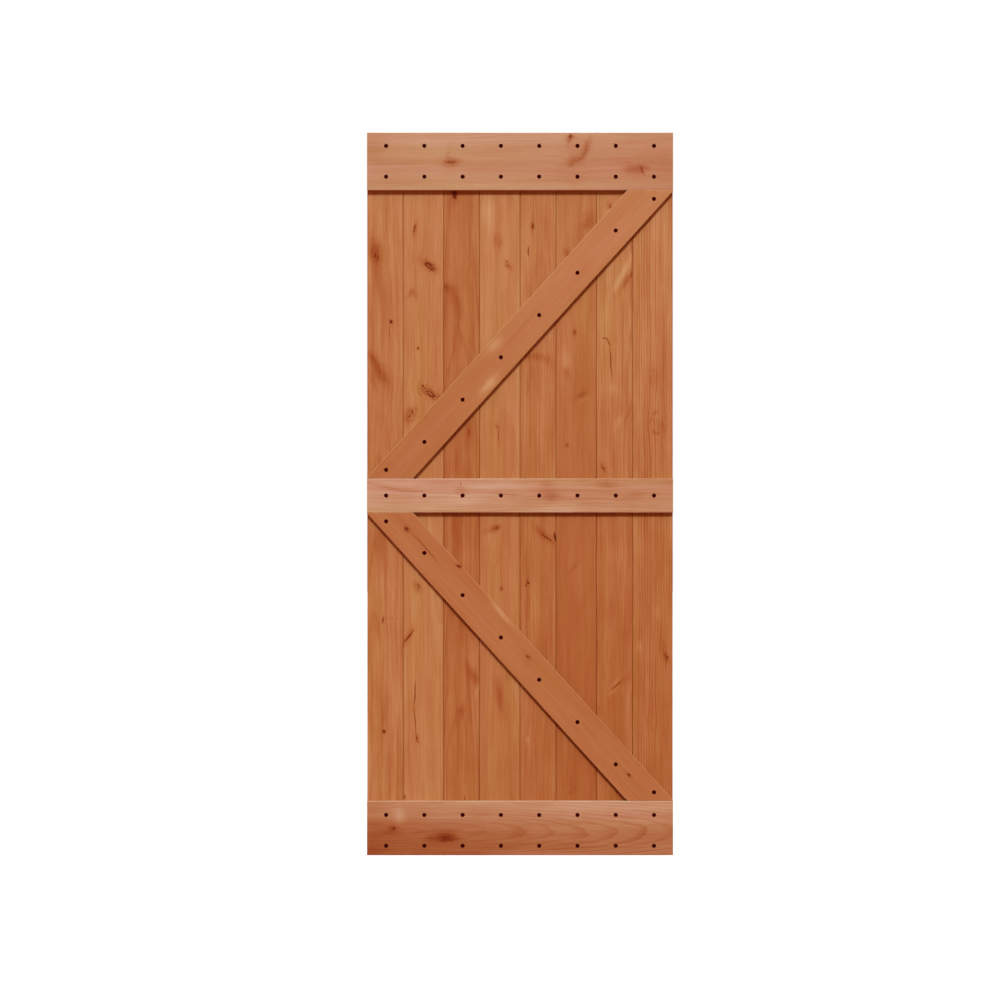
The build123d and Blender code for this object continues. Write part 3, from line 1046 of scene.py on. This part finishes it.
def make_floor(size):
    """Plain square floor under the door."""
    half = size / 2
    corners = [(-half, -half, 0), (half, -half, 0), (half, half, 0), (-half, half, 0)]
    mesh = bpy.data.meshes.new("studio_floor")
    mesh.from_pydata(corners, [], [(0, 1, 2, 3)])
    mesh.materials.append(floor_material())
    floor = add_object("studio_floor", mesh)


def make_world(settings):
    """Warm fill light, soft light from above and behind, and white where the camera sees it."""
    world = bpy.data.worlds.new("white_studio")
    world.use_nodes = True
    world.node_tree.nodes.clear()
    bench = Bench(world.node_tree)
    away = bench.parts(bench.node("ShaderNodeTexCoord").outputs["Generated"])
    height = bench.math("MAXIMUM", away["Z"], 0.0)
    dome = bench.times(bench.times(height, height), settings.overhead_strength)
    behind = bench.times(bench.math("MAXIMUM", away["Y"], 0.0), settings.rear_strength)

    def light(colour, strength):
        return bench.node("ShaderNodeBackground", sockets={"Color": colour, "Strength": strength}).outputs[0]

    fill = light((*settings.fill_colour, 1), settings.fill_strength)
    front = bench.node("ShaderNodeAddShader", fill, light(WHITE, dome)).outputs[0]
    rear = light((*settings.rear_colour, 1), behind)
    lights = bench.node("ShaderNodeAddShader", front, rear).outputs[0]
    both = bench.node("ShaderNodeMixShader", seen_directly(bench), lights, light(WHITE, 1.0))
    bench.node("ShaderNodeOutputWorld", sockets={"Surface": both.outputs[0]})
    bpy.context.scene.world = world


def make_key_light(settings):
    """Soft main light from straight in front and above."""
    lamp = bpy.data.lights.new("key_light", "SUN")
    lamp.energy = settings.key_strength
    lamp.color = settings.key_colour
    lamp.angle = settings.key_softness
    light = add_object("key_light", lamp)
    light.rotation_euler = (math.pi / 2 - settings.key_elevation, 0, 0)


def make_camera(settings):
    """Camera level with the door, looking straight at its front."""
    lens = bpy.data.cameras.new("front_camera")
    lens.lens = settings.lens
    lens.clip_end = CAMERA_REACH
    camera = add_object("front_camera", lens)
    front = CAD_BOX[0][1]
    camera.location = (settings.camera_x, front - settings.camera_distance, settings.camera_height)
    camera.rotation_euler = (math.pi / 2, 0, 0)
    bpy.context.scene.camera = camera


# Operators
class BARNDOOR_OT_finish_planks(bpy.types.Operator):
    """Stain the upright planks"""
    bl_idname = "barndoor.finish_planks"
    bl_label = "Finish planks"

    def execute(self, context):
        settings = context.scene.barn_door_wood
        finish_boards(PLANKS, settings.plank_colour, -settings.joint_stain, FIRST_SEEDS["planks"])
        return {"FINISHED"}


class BARNDOOR_OT_finish_rails(bpy.types.Operator):
    """Stain the three rails"""
    bl_idname = "barndoor.finish_rails"
    bl_label = "Finish rails"

    def execute(self, context):
        settings = context.scene.barn_door_wood
        finish_boards(RAILS, settings.rail_colour, settings.edge_wear, FIRST_SEEDS["rails"])
        return {"FINISHED"}


class BARNDOOR_OT_finish_braces(bpy.types.Operator):
    """Stain the two braces"""
    bl_idname = "barndoor.finish_braces"
    bl_label = "Finish braces"

    def execute(self, context):
        settings = context.scene.barn_door_wood
        finish_boards(BRACES, settings.brace_colour, settings.edge_wear, FIRST_SEEDS["braces"])
        return {"FINISHED"}


class BARNDOOR_OT_drive_screws(bpy.types.Operator):
    """Put a black screw in every hole"""
    bl_idname = "barndoor.drive_screws"
    bl_label = "Drive screws"

    def execute(self, context):
        make_screws(context.scene.barn_door_screws)
        return {"FINISHED"}


class BARNDOOR_OT_set_stage(bpy.types.Operator):
    """Set up the floor, light and camera"""
    bl_idname = "barndoor.set_stage"
    bl_label = "Set stage"

    def execute(self, context):
        settings = context.scene.barn_door_stage
        make_floor(settings.floor_size)
        make_world(settings)
        make_key_light(settings)
        make_camera(settings)
        context.scene.view_settings.view_transform = "Standard"
        return {"FINISHED"}


class BARNDOOR_PT_panel(bpy.types.Panel):
    """Settings and steps of the door's finish"""
    bl_idname = "BARNDOOR_PT_panel"
    bl_label = "Barn Door"
    bl_space_type = "VIEW_3D"
    bl_region_type = "UI"
    bl_category = "Barn Door"

    def draw(self, context):
        for settings, operators in PANEL_ROWS:
            box = self.layout.box()
            group = getattr(context.scene, settings)
            for name in group.bl_rna.properties.keys():
                if name not in ("rna_type", "name"):
                    box.prop(group, name)
            for operator in operators:
                box.operator(operator.bl_idname)


WOOD_STEPS = [BARNDOOR_OT_finish_planks, BARNDOOR_OT_finish_rails, BARNDOOR_OT_finish_braces]
PANEL_ROWS = [
    ("barn_door_wood", WOOD_STEPS),
    ("barn_door_screws", [BARNDOOR_OT_drive_screws]),
    ("barn_door_stage", [BARNDOOR_OT_set_stage]),
]
SETTINGS = {
    "barn_door_wood": WoodSettings,
    "barn_door_screws": ScrewSettings,
    "barn_door_stage": StageSettings,
}
CLASSES = [
    *SETTINGS.values(), *WOOD_STEPS, BARNDOOR_OT_drive_screws, BARNDOOR_OT_set_stage, BARNDOOR_PT_panel,
]


def register():
    for cls in CLASSES:
        bpy.utils.register_class(cls)
    for name, group in SETTINGS.items():
        setattr(bpy.types.Scene, name, bpy.props.PointerProperty(type=group))


def unregister():
    for name in SETTINGS:
        delattr(bpy.types.Scene, name)
    for cls in reversed(CLASSES):
        bpy.utils.unregister_class(cls)


def main():
    register()
    bpy.ops.barndoor.finish_planks()
    bpy.ops.barndoor.finish_rails()
    bpy.ops.barndoor.finish_braces()
    bpy.ops.barndoor.drive_screws()
    bpy.ops.barndoor.set_stage()


if __name__ == "__main__":
    main()
